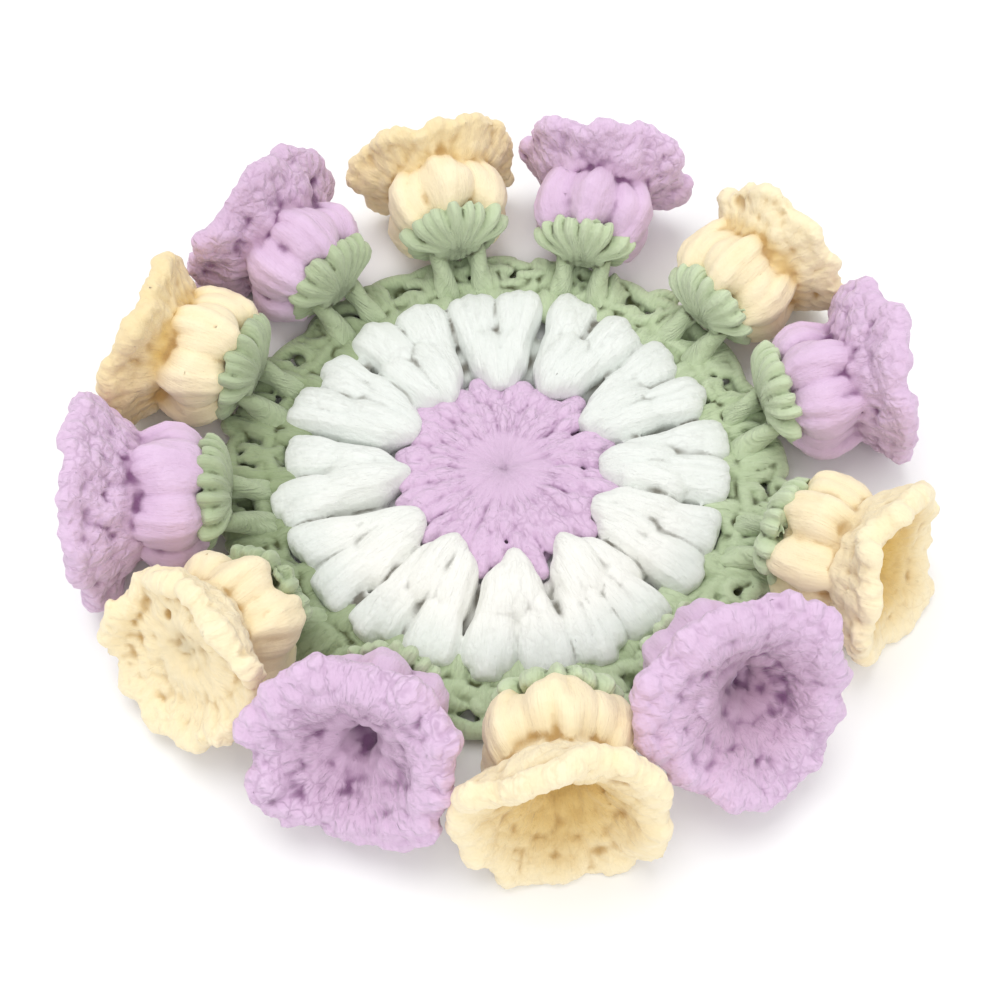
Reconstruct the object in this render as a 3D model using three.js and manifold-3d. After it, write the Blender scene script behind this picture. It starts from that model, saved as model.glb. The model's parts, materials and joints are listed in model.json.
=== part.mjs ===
// Round crochet coaster ringed by twelve bell flowers, in soft thick cotton yarn.
// Millimetres, +Z up. The origin is the middle of the underside, where it lies on the table.
import * as THREE from 'three';
import { mergeVertices } from 'three/addons/utils/BufferGeometryUtils.js';
import Module from 'manifold-3d';

const gap = 0.3; // between neighbouring pieces
const roundGap = 0.45; // between the wavy edges of two rounds of the mat, which come closer in places
const degree = Math.PI / 180;
const turn = 2 * Math.PI;

// The mat: a lilac centre, a white petal ring and a green leaf ring, worked one around the other.
const unitCount = 12; // flowers, petals, star points and calyces
const unitStep = 360 / unitCount; // degrees
const firstUnit = 100; // azimuth of the first flower, in degrees
const tipCount = 24; // white tips, and gaps in the leaf ring
const firstTip = 10 * degree; // azimuth of a white tip, with a calyx outside every second one
const firstPetal = 2.5 * degree; // azimuth of an inner petal
const matCrest = 4.8; // height that a cup stands at, on the hub and the petals
const matSegments = 72; // six to a petal, three to a tip

const centreDisc = {
  radius: 19.4,
  starDepth: 1.4, // the outline swings by this between the star points and the petals' ends
  starZone: 5.8, // width of the edge zone that swings
  hubRadius: 4.1,
  seamRadius: 10.3, // twelve long stitches inside it, twenty-four short ones outside
  creaseDepth: 0.7,
  topFrom: 3.4, // height above which the stitches crease the top
};
// Half section of the lilac centre: share of its radius, and height.
const centreProfile = [
  { share: 0, height: 0 },
  { share: 0.96, height: 0 },
  { share: 1, height: 0.9 },
  { share: 1, height: 2.9 },
  { share: 0.95, height: 3.9 },
  { share: 0.8, height: 4.45 },
  { share: 0.62, height: 4.5 },
  { share: 0.53, height: 3.9 },
  { share: 0.44, height: 4.6 },
  { share: 0.206, height: matCrest },
  { share: 0, height: matCrest },
];

const petalRing = {
  innerRadius: centreDisc.radius + roundGap,
  outerRadius: 40.2,
  starZone: 6,
  tipDepth: 1.3,
  tipZone: 7,
  seamRadius: 30, // where the inner petals end and the outer tips begin
  petalCrease: 1.3,
  tipCrease: 1.1,
  creaseFrom: 0.8, // heights between which the creases grow to their full depth
  creaseFull: 3.2,
};
// Section of the white ring: share of its width from the inner edge, and height.
const petalProfile = [
  { share: 0, height: 0.4 },
  { share: 0.025, height: 0 },
  { share: 0.96, height: 0 },
  { share: 1, height: 0.9 },
  { share: 1, height: 2.9 },
  { share: 0.94, height: 4.2 },
  { share: 0.78, height: 4.4 },
  { share: 0.52, height: 3.3 },
  { share: 0.37, height: matCrest },
  { share: 0.15, height: matCrest },
  { share: 0.045, height: 3.9 },
  { share: 0, height: 2.6 },
  { share: 0, height: 0.4 },
];

const leafRing = {
  thickness: 3.4,
  edgeRound: 0.5,
  apexRadius: 49.6, // under each calyx
  notchRadius: 49,
  gapInner: 43.6,
  gapInnerBow: 0.4,
  gapOuter: 47.9,
  gapOuterBow: 0.2,
};
// Half widths of the leaf ring's gaps at their inner and outer sides, in degrees.
const underCalyx = { inner: 5.2, outer: 0.9 };
const betweenCalyces = { inner: 3.4, outer: 6.2 };

// The bell flower, from its closed base to its rim. Lengths run along its axis.
const bell = {
  segments: 24,
  puffs: 6,
  points: 12,
  neckAt: 13.2,
  neckRadius: 8.6,
  wall: 2.1,
  puffCrease: 0.25, // share of the radius lost between two puffs
  creasedBeyond: 4.6, // radius from which the base is creased
  pointDepth: 0.9, // swing of the rim's points across the axis, and along it
  pointReach: 0.6,
  squashBelow: 7, // the soft cloth gives in this lowest zone, where it would pass the table
  lift: 0.35,
};

// Puffs: distance along the axis and radius, from the base to the neck.
const puffProfile = [
  { along: 0, radius: 0 },
  { along: 1.4, radius: 8.6 },
  { along: 4, radius: 11.5 },
  { along: 7.6, radius: 12.2 },
  { along: 11, radius: 10.9 },
  { along: bell.neckAt, radius: bell.neckRadius },
];

// Skirt: shares of the way from the neck to the rim, outside and then inside.
const skirtProfile = [
  { share: 0.22, flare: 0.2, inset: 0 },
  { share: 0.56, flare: 0.6, inset: 0 },
  { share: 0.95, flare: 1, inset: 0 },
  { share: 1, flare: 0.94, inset: 0.3 },
  { share: 0.68, flare: 0.6, inset: 0.9 },
  { share: 0.36, flare: 0.24, inset: 1 },
];

// Throat: the hollow goes on behind the skirt.
const throatProfile = [
  { along: 12.6, radius: 4.9 },
  { along: 10.2, radius: 4 },
  { along: 8.6, radius: 3.2 },
  { along: 8.2, radius: 0 },
];

// The ruffle of a skirt: waves around it.
const ruffleWaves = { broad: 3, fine: 5, fineShare: 0.5, radialShare: 0.4 };

// The flowers, clockwise from the back. Turn is the base's place past its unit, yaw and tilt point
// the mouth, reach runs from base to rim, wave and sway set the ruffle. Angles in degrees.
const flowers = [
  { turn: 1, base: 48.8, yaw: 4, tilt: 12, reach: 18.5, rim: 16.2, wave: 0.9, sway: 20 },
  { turn: 1.5, base: 48.6, yaw: 9, tilt: 17, reach: 19.2, rim: 16.2, wave: 1, sway: 75 },
  { turn: -1, base: 49.2, yaw: 7, tilt: 18, reach: 18.8, rim: 16, wave: 0.8, sway: 140 },
  { turn: 2, base: 49.5, yaw: 4, tilt: 10, reach: 19.5, rim: 16.2, wave: 0.9, sway: 200 },
  { turn: 0, base: 50.2, yaw: -2, tilt: 5, reach: 21, rim: 16, wave: 1.1, sway: 310 },
  { turn: -0.5, base: 49, yaw: -17, tilt: 38, reach: 20.6, rim: 16.8, wave: 1.2, sway: 40 },
  { turn: -0.5, base: 49.2, yaw: -8, tilt: 10, reach: 21.3, rim: 16.6, wave: 1, sway: 90 },
  { turn: -2, base: 48.4, yaw: 3, tilt: 33, reach: 19.8, rim: 16.1, wave: 0.9, sway: 160 },
  { turn: -4, base: 49.2, yaw: 11, tilt: 27, reach: 20.5, rim: 16.1, wave: 1.1, sway: 250 },
  { turn: 2, base: 50.2, yaw: -6, tilt: 4, reach: 21.1, rim: 16.8, wave: 0.8, sway: 330 },
  { turn: 0.5, base: 49.6, yaw: 4, tilt: 9, reach: 19.8, rim: 16, wave: 0.9, sway: 10 },
  { turn: 1.4, base: 49.1, yaw: 8, tilt: 9, reach: 19.5, rim: 16, wave: 1, sway: 110 },
];

// The calyx: a green cup with six teeth that clasps the base of a bell, seated on the leaf ring.
const calyx = {
  segments: 12,
  toothReach: 1.1,
  toothFrom: 7, // radii between which the teeth grow to their full reach
  toothFull: 10.6,
  seat: leafRing.thickness + gap,
  seatRadius: 70,
  cutDepth: 30,
};
// Outside of the cup and then its inside, along the bell's axis.
const calyxProfile = [
  { along: -2.8, radius: 0 },
  { along: -2.6, radius: 4.6 },
  { along: -1.2, radius: 8.6 },
  { along: 1, radius: 10.9 },
  { along: 2.6, radius: 11.5 },
  { along: 2.3, radius: 10.3 },
  { along: 0.65, radius: 8.9 },
  { along: 0.2, radius: 5 },
  { along: -gap, radius: 0 },
];

const yarn = {
  lilac: new THREE.MeshStandardMaterial({ color: 0xcdacd4, roughness: 0.9, metalness: 0 }),
  yellow: new THREE.MeshStandardMaterial({ color: 0xf5deb0, roughness: 0.9, metalness: 0 }),
  white: new THREE.MeshStandardMaterial({ color: 0xf0f4ee, roughness: 0.9, metalness: 0 }),
  green: new THREE.MeshStandardMaterial({ color: 0x9bb08f, roughness: 0.9, metalness: 0 }),
};

// A closed mesh with its shared points merged.
function closed(geometry) {
  geometry.deleteAttribute('normal');
  geometry.deleteAttribute('uv');
  const merged = mergeVertices(geometry, 1e-4);
  merged.computeVertexNormals();
  return merged;
}

// Moves every point of a geometry by a function of its place.
function shaped(geometry, move) {
  const points = geometry.getAttribute('position');
  const point = new THREE.Vector3();
  for (let i = 0; i < points.count; i += 1) {
    point.fromBufferAttribute(points, i);
    move(point);
    points.setXYZ(i, point.x, point.y, point.z);
  }
  return geometry;
}

// A lathe about +Z whose points are moved as (angle, radius, height).
function turned(section, segments, move, firstAngle = 0) {
  const geometry = new THREE.LatheGeometry(section, segments);
  geometry.rotateX(Math.PI / 2);
  geometry.rotateZ(firstAngle);
  shaped(geometry, (point) => {
    const angle = Math.atan2(point.y, point.x);
    const radius = Math.hypot(point.x, point.y);
    const moved = move(angle, radius, point.z);
    point.set(moved.radius * Math.cos(angle), moved.radius * Math.sin(angle), moved.height);
  });
  return closed(geometry);
}

function smooth(from, to, value) {
  return THREE.MathUtils.smoothstep(value, from, to);
}

// Outline between the lilac centre and the white petals: round at a petal, a star point between two.
function starSwing(angle) {
  return 1 - 2 * Math.abs(Math.cos(0.5 * unitCount * (angle - firstPetal)));
}

// Outline between the white tips and the leaf ring.
function tipSwing(angle) {
  return Math.cos(tipCount * (angle - firstTip));
}

// Lilac disc: a flat hub, twelve long stitches and a round of twenty-four short ones.
function makeCentre() {
  const { radius, starDepth, starZone, hubRadius, seamRadius, creaseDepth, topFrom } = centreDisc;
  const section = centreProfile.map(({ share, height }) => new THREE.Vector2(share * radius, height));
  const move = (angle, r, height) => {
    const outward = smooth(radius - starZone, radius, r);
    const onTop = height > topFrom && r > hubRadius;
    const stitches = r > seamRadius ? tipCount : unitCount;
    const crease = 0.5 - 0.5 * Math.cos(stitches * (angle - firstPetal));
    return {
      radius: r + starDepth * outward * starSwing(angle),
      height: onTop ? height - creaseDepth * crease : height,
    };
  };
  return new THREE.Mesh(turned(section, matSegments, move, firstPetal), yarn.lilac);
}

// White ring: twelve domed petals inside, twenty-four tips outside.
function makePetalRing() {
  const { innerRadius, outerRadius, starZone, tipDepth, tipZone, seamRadius } = petalRing;
  const { petalCrease, tipCrease, creaseFrom, creaseFull } = petalRing;
  const width = outerRadius - innerRadius;
  const section = petalProfile.map((row) => new THREE.Vector2(innerRadius + row.share * width, row.height));
  const move = (angle, r, height) => {
    const inward = 1 - smooth(innerRadius, innerRadius + starZone, r);
    const outward = smooth(outerRadius - tipZone, outerRadius, r);
    const betweenPetals = Math.sin(0.5 * unitCount * (angle - firstPetal)) ** 8;
    const betweenTips = 0.5 - 0.5 * tipSwing(angle);
    const crease = r < seamRadius ? petalCrease * betweenPetals : tipCrease * betweenTips;
    return {
      radius: r + centreDisc.starDepth * inward * starSwing(angle) + tipDepth * outward * tipSwing(angle),
      height: height - crease * smooth(creaseFrom, creaseFull, height),
    };
  };
  return new THREE.Mesh(turned(section, matSegments, move, firstPetal), yarn.white);
}

function onCircle(radius, angle) {
  return new THREE.Vector2(radius * Math.cos(angle), radius * Math.sin(angle));
}

// A gap of the leaf ring, wide or narrow towards the outside.
function latticeGap(angle, halfWidth) {
  const { gapInner, gapInnerBow, gapOuter, gapOuterBow } = leafRing;
  const inner = halfWidth.inner * degree;
  const outer = halfWidth.outer * degree;
  return new THREE.Path([
    onCircle(gapInner, angle - inner),
    onCircle(gapInner - gapInnerBow, angle),
    onCircle(gapInner, angle + inner),
    onCircle(gapOuter, angle + outer),
    onCircle(gapOuter + gapOuterBow, angle),
    onCircle(gapOuter, angle - outer),
  ]);
}

// Green openwork: pairs of legs that meet under each calyx, with a gap inside and beside each pair.
function makeLeafRing() {
  const { thickness, edgeRound, apexRadius, notchRadius } = leafRing;
  const angles = Array.from({ length: matSegments }, (_, i) => firstPetal + (i / matSegments) * turn);
  const swing = 0.5 * (apexRadius - notchRadius);
  const outer = 0.5 * (apexRadius + notchRadius) - edgeRound;
  const inner = petalRing.outerRadius + roundGap + edgeRound;
  const apexSwing = (angle) => swing * Math.cos(unitCount * (angle - firstTip));
  const outerEdge = angles.map((angle) => onCircle(outer + apexSwing(angle), angle));
  const innerEdge = angles.map((angle) => onCircle(inner + petalRing.tipDepth * tipSwing(angle), angle));
  const outline = new THREE.Shape(outerEdge);
  outline.holes.push(new THREE.Path(innerEdge));
  for (let i = 0; i < tipCount; i += 1) {
    const halfWidth = i % 2 === 0 ? underCalyx : betweenCalyces;
    outline.holes.push(latticeGap(firstTip + (i / tipCount) * turn, halfWidth));
  }
  const geometry = new THREE.ExtrudeGeometry(outline, {
    depth: thickness - 2 * edgeRound,
    bevelEnabled: true,
    bevelSegments: 1,
    bevelSize: edgeRound,
    bevelThickness: edgeRound,
    curveSegments: 1,
  });
  geometry.translate(0, 0, edgeRound);
  return new THREE.Mesh(closed(geometry), yarn.green);
}

// Places a mesh that is made along +Z at a flower's base, pointing where its mouth points.
function placeOnUnit(mesh, flower) {
  const azimuth = (flower.unit + flower.turn) * degree;
  const heading = (flower.unit + flower.yaw) * degree;
  const tilt = flower.tilt * degree;
  const depths = puffProfile.map(({ along, radius }) => radius * Math.cos(tilt) - along * Math.sin(tilt));
  const foot = onCircle(flower.base, azimuth);
  mesh.position.set(foot.x, foot.y, Math.max(...depths) + bell.lift);
  const ahead = onCircle(Math.cos(tilt), heading);
  const axis = new THREE.Vector3(ahead.x, ahead.y, Math.sin(tilt));
  const side = new THREE.Vector3(-Math.sin(heading), Math.cos(heading), 0);
  const up = new THREE.Vector3().crossVectors(axis, side);
  mesh.quaternion.setFromRotationMatrix(new THREE.Matrix4().makeBasis(side, up, axis));
  mesh.updateMatrixWorld(true);
}

// Presses the lowest cloth together so that it lies on the table.
function settle(mesh) {
  const toWorld = mesh.matrixWorld;
  const toLocal = toWorld.clone().invert();
  const box = new THREE.Box3().setFromObject(mesh, true);
  const lowest = Math.min(box.min.z, bell.lift);
  const share = (bell.squashBelow - bell.lift) / (bell.squashBelow - lowest);
  shaped(mesh.geometry, (point) => {
    point.applyMatrix4(toWorld);
    if (point.z < bell.squashBelow) {
      point.z = bell.squashBelow - share * (bell.squashBelow - point.z);
    }
    point.applyMatrix4(toLocal);
  });
}

// Half section of a bell: puffs, skirt outside and inside, throat.
function bellSection(flower) {
  const skirtLength = flower.reach - bell.neckAt;
  const flareWidth = flower.rim - bell.neckRadius;
  const skirt = skirtProfile.map(({ share, flare, inset }) => ({
    along: bell.neckAt + share * skirtLength,
    radius: bell.neckRadius + flare * flareWidth - inset * bell.wall,
  }));
  const rows = [...puffProfile, ...skirt, ...throatProfile];
  return rows.map(({ along, radius }) => new THREE.Vector2(radius, along));
}

// Ruffle of a skirt at an angle around it.
function ruffle(angle, sway) {
  const { broad, fine, fineShare } = ruffleWaves;
  return Math.sin(broad * angle + sway) + fineShare * Math.sin(fine * angle - 2 * sway);
}

// A bell: six puffs, a narrow neck and a ruffled skirt with twelve points, hollow from the mouth.
function makeFlower(flower) {
  const { neckAt, neckRadius, puffCrease, creasedBeyond, pointDepth, pointReach } = bell;
  const move = (angle, r, along) => {
    const isPuff = along < neckAt && r > creasedBeyond;
    const bulge = isPuff ? Math.sin((Math.PI * along) / neckAt) : 0;
    const crease = 0.5 + 0.5 * Math.cos(bell.puffs * angle);
    const opened = smooth(neckRadius, flower.rim, r) * smooth(neckAt, flower.reach, along);
    const point = Math.cos(bell.points * angle);
    const wave = ruffle(angle, flower.sway * degree);
    const across = pointDepth * point - ruffleWaves.radialShare * wave;
    return {
      radius: r * (1 - puffCrease * bulge * crease) + opened * across,
      height: along + opened * (pointReach * point + flower.wave * wave),
    };
  };
  const geometry = turned(bellSection(flower), bell.segments, move);
  const mesh = new THREE.Mesh(geometry, yarn[flower.yarn]);
  placeOnUnit(mesh, flower);
  settle(mesh);
  return mesh;
}

// A solid for joining and cutting, in the coaster's own frame.
function solidOf(wasm, mesh) {
  mesh.updateMatrixWorld(true);
  const geometry = closed(mesh.geometry.clone().applyMatrix4(mesh.matrixWorld));
  return new wasm.Manifold(
    new wasm.Mesh({
      numProp: 3,
      vertProperties: new Float32Array(geometry.getAttribute('position').array),
      triVerts: new Uint32Array(geometry.index.array),
    }),
  );
}

function geometryOf(solid) {
  const { vertProperties, triVerts } = solid.getMesh();
  const geometry = new THREE.BufferGeometry();
  geometry.setAttribute('position', new THREE.BufferAttribute(new Float32Array(vertProperties), 3));
  geometry.setIndex(new THREE.BufferAttribute(new Uint32Array(triVerts), 1));
  geometry.computeVertexNormals();
  return geometry;
}

// A calyx: clasps the bell's base and is seated flat on the leaf ring.
function makeCalyx(wasm, flower) {
  const section = calyxProfile.map(({ along, radius }) => new THREE.Vector2(radius, along));
  const move = (angle, r, along) => {
    const tooth = smooth(calyx.toothFrom, calyx.toothFull, r) * Math.cos(bell.puffs * angle);
    return { radius: r, height: along + calyx.toothReach * tooth };
  };
  const cup = new THREE.Mesh(turned(section, calyx.segments, move), yarn.green);
  placeOnUnit(cup, flower);
  const disc = new THREE.CylinderGeometry(calyx.seatRadius, calyx.seatRadius, calyx.cutDepth, tipCount);
  disc.rotateX(Math.PI / 2);
  disc.translate(0, 0, calyx.seat - 0.5 * calyx.cutDepth);
  const below = new THREE.Mesh(disc, yarn.green);
  const trimmed = solidOf(wasm, cup).subtract(solidOf(wasm, below));
  return new THREE.Mesh(geometryOf(trimmed), yarn.green);
}

function named(mesh, name) {
  mesh.name = name;
  return mesh;
}

const wasm = await Module();
wasm.setup();

const coaster = new THREE.Group();
coaster.add(named(makeCentre(), 'centre'));
coaster.add(named(makePetalRing(), 'petal_ring'));
coaster.add(named(makeLeafRing(), 'leaf_ring'));
flowers.forEach((row, i) => {
  const flower = { ...row, unit: firstUnit - i * unitStep, yarn: i % 2 === 0 ? 'yellow' : 'lilac' };
  const number = String(i + 1).padStart(2, '0');
  coaster.add(named(makeFlower(flower), `flower_${number}`));
  coaster.add(named(makeCalyx(wasm, flower), `calyx_${number}`));
});

export default coaster;
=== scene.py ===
# Round crochet coaster ringed by twelve bell flowers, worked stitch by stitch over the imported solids.
# Lengths in the dictionaries are millimetres and angles degrees; a mesh gets its points in metres.
import json
import math

import bpy
import numpy as np
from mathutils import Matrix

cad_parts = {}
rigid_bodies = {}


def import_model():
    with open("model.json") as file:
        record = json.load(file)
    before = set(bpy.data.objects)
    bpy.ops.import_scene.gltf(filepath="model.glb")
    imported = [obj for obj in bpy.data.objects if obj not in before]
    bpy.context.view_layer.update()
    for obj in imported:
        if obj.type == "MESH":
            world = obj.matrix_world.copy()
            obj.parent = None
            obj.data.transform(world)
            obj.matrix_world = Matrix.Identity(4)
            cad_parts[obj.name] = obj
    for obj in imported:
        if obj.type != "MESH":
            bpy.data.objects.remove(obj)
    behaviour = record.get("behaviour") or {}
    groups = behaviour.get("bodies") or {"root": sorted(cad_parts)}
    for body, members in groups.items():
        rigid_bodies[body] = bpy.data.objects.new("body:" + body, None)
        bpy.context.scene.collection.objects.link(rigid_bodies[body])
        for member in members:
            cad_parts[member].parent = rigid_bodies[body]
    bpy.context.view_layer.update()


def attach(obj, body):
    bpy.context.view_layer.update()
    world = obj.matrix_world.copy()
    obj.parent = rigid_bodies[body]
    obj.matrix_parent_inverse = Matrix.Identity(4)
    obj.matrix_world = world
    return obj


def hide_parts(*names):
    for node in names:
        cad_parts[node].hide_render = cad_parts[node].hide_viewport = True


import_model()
mm = 0.001
degree = math.pi / 180
turn = 2 * math.pi
chance = np.random.default_rng(11)

# The mat's rounds, as the solids have them
mat = {
    "units": 12,
    "tips": 24,
    "firstTip": 10,
    "firstPetal": 2.5,
    "centreRadius": 19.4,
    "starDepth": 1.4,
    "petalRadius": 40.2,
}

# Yarn colours: the painted shade in the creases, the strands, the lighter yarn that also paints light on what
# stands out, and the tint painted where light and shade fall
toneNames = ("paintedShade", "mid", "light", "paintedTint")
colours = {
    "lilac": ((0.19, 0.08, 0.18), (0.61, 0.42, 0.60), (0.77, 0.58, 0.77), (0.42, 0.25, 0.34)),
    "yellow": ((0.50, 0.31, 0.11), (0.88, 0.73, 0.44), (0.94, 0.84, 0.61), (0.70, 0.47, 0.13)),
    "white": ((0.18, 0.17, 0.14), (0.72, 0.76, 0.72), (0.85, 0.87, 0.84), (0.90, 0.89, 0.84)),
    "green": ((0.06, 0.07, 0.02), (0.43, 0.53, 0.31), (0.62, 0.71, 0.50), (0.18, 0.23, 0.10)),
}


def deselectAll():
    bpy.ops.object.select_all(action="DESELECT")


def enter(mode):
    bpy.ops.object.mode_set(mode=mode)


def readVectors(mesh, name):
    values = np.empty(3 * len(mesh.vertices), np.float32)
    mesh.vertices.foreach_get(name, values)
    return values.reshape(-1, 3).astype(float)


def movePoints(mesh, points):
    mesh.vertices.foreach_set("co", (points * mm).astype(np.float32).ravel())


# Yarn materials

yarnLook = {
    "roughness": 0.88,
    "specular": 0.2,
    "sheen": 0.25,
    "sheenRoughness": 0.6,
    # scale and detail of each noise
    "fibres": (1.2, 3),
    "blotches": (110, 2),
    "lint": (1400, 2),
    "wobble": (520, 1),
    "noiseRoughness": 0.6,
    "fibreStretch": (0.35, 2.2, 2.2),
    "wobbleReach": 0.9,
    # height in mm and strength of what stands out
    "fibreBump": (0.30, 0.7),
    "lintBump": (0.15, 0.5),
    "loopStrength": 0.65,
    # small loops inside the stitches: length, width and height in mm
    "loops": {
        "lilac": (3.6, 2.0, 0.8), "yellow": (4.0, 2.4, 0.7),
        "white": (6.5, 2.6, 0.7), "green": (6.0, 1.4, 0.8),
    },
}


def plug(tree, node, inputs):
    # an input takes another node's output by a link, and a number or a colour as it is
    for key, value in inputs.items():
        if isinstance(value, bpy.types.NodeSocket):
            tree.links.new(value, node.inputs[key])
        else:
            node.inputs[key].default_value = value
    return node


def mathNode(tree, operation, first, second):
    node = tree.nodes.new("ShaderNodeMath")
    node.operation = operation
    return plug(tree, node, {0: first, 1: second}).outputs[0]


def mixColour(tree, share, first, second):
    node = tree.nodes.new("ShaderNodeMix")
    node.data_type = "RGBA"
    first, second = ((*tone, 1) if isinstance(tone, tuple) else tone for tone in (first, second))
    return plug(tree, node, {0: share, 6: first, 7: second}).outputs[2]


def mapRange(tree, value, low, high, toLow=0, toHigh=1):
    node = tree.nodes.new("ShaderNodeMapRange")
    node.interpolation_type = "SMOOTHSTEP"
    inputs = {"Value": value, "From Min": low, "From Max": high, "To Min": toLow, "To Max": toHigh}
    return plug(tree, node, inputs).outputs[0]


def noiseNode(tree, vector, look):
    scale, detail = look
    inputs = {"Vector": vector, "Scale": scale, "Detail": detail, "Roughness": yarnLook["noiseRoughness"]}
    return plug(tree, tree.nodes.new("ShaderNodeTexNoise"), inputs)


def bumpNode(tree, height, distance, strength, before=None):
    inputs = {"Height": height, "Distance": distance * mm, "Strength": strength}
    if before:
        inputs["Normal"] = before
    return plug(tree, tree.nodes.new("ShaderNodeBump"), inputs).outputs["Normal"]


def feltMaterial(name, tones, loop):
    # stitches grown together: fibres run along the "yarn" attribute's first axis
    material = bpy.data.materials.new(name)
    material.use_nodes = True
    tree = material.node_tree
    nodes = tree.nodes
    shade = nodes.new("ShaderNodeAttribute")  # painted crest light, share clear of the painted crease shade, share of the painted tint, loops
    shade.attribute_name = "shade"
    loopy = shade.outputs["Alpha"]
    shadeParts = plug(tree, nodes.new("ShaderNodeSeparateColor"), {0: shade.outputs["Color"]})
    crestLightChannel, unshadedShare, paintedTintShare = shadeParts.outputs
    place = nodes.new("ShaderNodeAttribute")
    place.attribute_name = "yarn"
    along = place.outputs["Vector"]
    stretch = plug(tree, nodes.new("ShaderNodeMapping"), {"Vector": along, "Scale": yarnLook["fibreStretch"]})
    space = nodes.new("ShaderNodeTexCoord").outputs["Object"]
    fibres = noiseNode(tree, stretch.outputs["Vector"], yarnLook["fibres"]).outputs["Fac"]
    blotches = noiseNode(tree, space, yarnLook["blotches"]).outputs["Fac"]
    lint = noiseNode(tree, space, yarnLook["lint"]).outputs["Fac"]

    # loops are cells, longer than wide, that a wobble keeps from having straight sides
    length, width, height = loop
    wobble = noiseNode(tree, space, yarnLook["wobble"]).outputs["Color"]
    reach = yarnLook["wobbleReach"] * width
    bent = nodes.new("ShaderNodeVectorMath")
    bent.operation = "MULTIPLY_ADD"
    plug(tree, bent, {0: wobble, 1: (reach, reach, reach), 2: along})
    inputs = {"Vector": bent.outputs["Vector"], "Scale": (1 / length, 1 / width, 1 / width)}
    squeezed = plug(tree, nodes.new("ShaderNodeMapping"), inputs)
    cells = nodes.new("ShaderNodeTexVoronoi")
    cells.feature = "DISTANCE_TO_EDGE"
    plug(tree, cells, {"Vector": squeezed.outputs["Vector"], "Scale": 1})
    edge = cells.outputs["Distance"]
    domed = mathNode(tree, "MULTIPLY", mapRange(tree, edge, -0.05, 0.40), loopy)
    # painted shade in narrow cracks between the small loops, where the blotches allow
    slitShade = mathNode(tree, "MULTIPLY", mapRange(tree, edge, 0, 0.12, 1, 0), loopy)
    slitShade = mathNode(tree, "MULTIPLY", slitShade, mapRange(tree, blotches, 0.45, 0.65))

    # painted light: what stands out is lighter; the fibre and blotch noise is the yarn's uneven tone
    lightShare = mathNode(tree, "MULTIPLY", crestLightChannel, 0.5)
    for noise, share in ((fibres, 0.4), (blotches, 0.5)):
        lightShare = mathNode(tree, "ADD", lightShare, mathNode(tree, "MULTIPLY", noise, share))
    lightShare = mathNode(tree, "SUBTRACT", lightShare, 0.3)
    body = mixColour(tree, lightShare, tones["mid"], tones["light"])
    # painted tint where light and shade fall
    body = mixColour(tree, paintedTintShare, body, tones["paintedTint"])
    body = mixColour(tree, mathNode(tree, "MULTIPLY", slitShade, 0.4), body, tones["paintedShade"])
    # painted shade in the creases
    colour = mixColour(tree, unshadedShare, tones["paintedShade"], body)

    normal = bumpNode(tree, domed, height, yarnLook["loopStrength"])
    normal = bumpNode(tree, fibres, *yarnLook["fibreBump"], normal)
    normal = bumpNode(tree, lint, *yarnLook["lintBump"], normal)
    inputs = {"Base Color": colour, "Normal": normal, "Roughness": yarnLook["roughness"]}
    inputs.update({"Sheen Weight": yarnLook["sheen"], "Sheen Roughness": yarnLook["sheenRoughness"]})
    inputs["Specular IOR Level"] = yarnLook["specular"]
    plug(tree, nodes["Principled BSDF"], inputs)
    return material


felt = {
    tone: feltMaterial(tone + "Felt", dict(zip(toneNames, rows)), yarnLook["loops"][tone])
    for tone, rows in colours.items()
}
print("felt materials are ready")


# One strand of yarn, modelled once and laid along every stitch

strandKinds = {
    "fine": {"sides": 8, "rings": 8, "bluntness": 0.38},
    "fat": {"sides": 10, "rings": 12, "bluntness": 0.5},
    "long": {"sides": 10, "rings": 20, "bluntness": 0.4},
    "egg": {"sides": 20, "rings": 18, "bluntness": 0.85},
}


def modelStrand(kind):
    sides, rings = kind["sides"], kind["rings"]
    deselectAll()
    bpy.ops.mesh.primitive_uv_sphere_add(segments=sides, ring_count=rings, radius=1, location=(0, 0, 0))
    strand = bpy.context.object
    heights = [math.cos(math.pi * step / rings) for step in range(rings + 1)]
    for height in heights[1:-1]:
        # each ring of the ball is widened, so that the ends turn blunt
        width = math.sqrt(1 - height * height)
        for vertex in strand.data.vertices:
            vertex.select = abs(vertex.co.z - height) < 0.01
        enter("EDIT")
        wider = width ** (kind["bluntness"] - 1)
        bpy.ops.transform.resize(value=(wider, wider, 1))
        enter("OBJECT")
        for edge in strand.data.edges:
            edge.select = False
        for face in strand.data.polygons:
            face.select = False
    points = readVectors(strand.data, "co")
    faces = [list(face.vertices) for face in strand.data.polygons]
    along = 0.5 - 0.5 * np.array(heights)
    ring = np.array([int(np.argmin(np.abs(np.array(heights) - point[2]))) for point in points])
    bpy.data.objects.remove(strand)
    return {"along": along, "ring": ring, "x": points[:, 0], "y": points[:, 1], "faces": faces}


strands = {name: modelStrand(kind) for name, kind in strandKinds.items()}
print("strands modelled")


def alongStrand(kind):
    # the places of a strand's rings, from 0 at its foot to 1 at its end
    return strands[kind]["along"][None, :]


def arch(share):
    return np.sin(math.pi * share)


def unit(vectors):
    return vectors / np.maximum(np.linalg.norm(vectors, axis=-1, keepdims=True), 1e-9)


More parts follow.
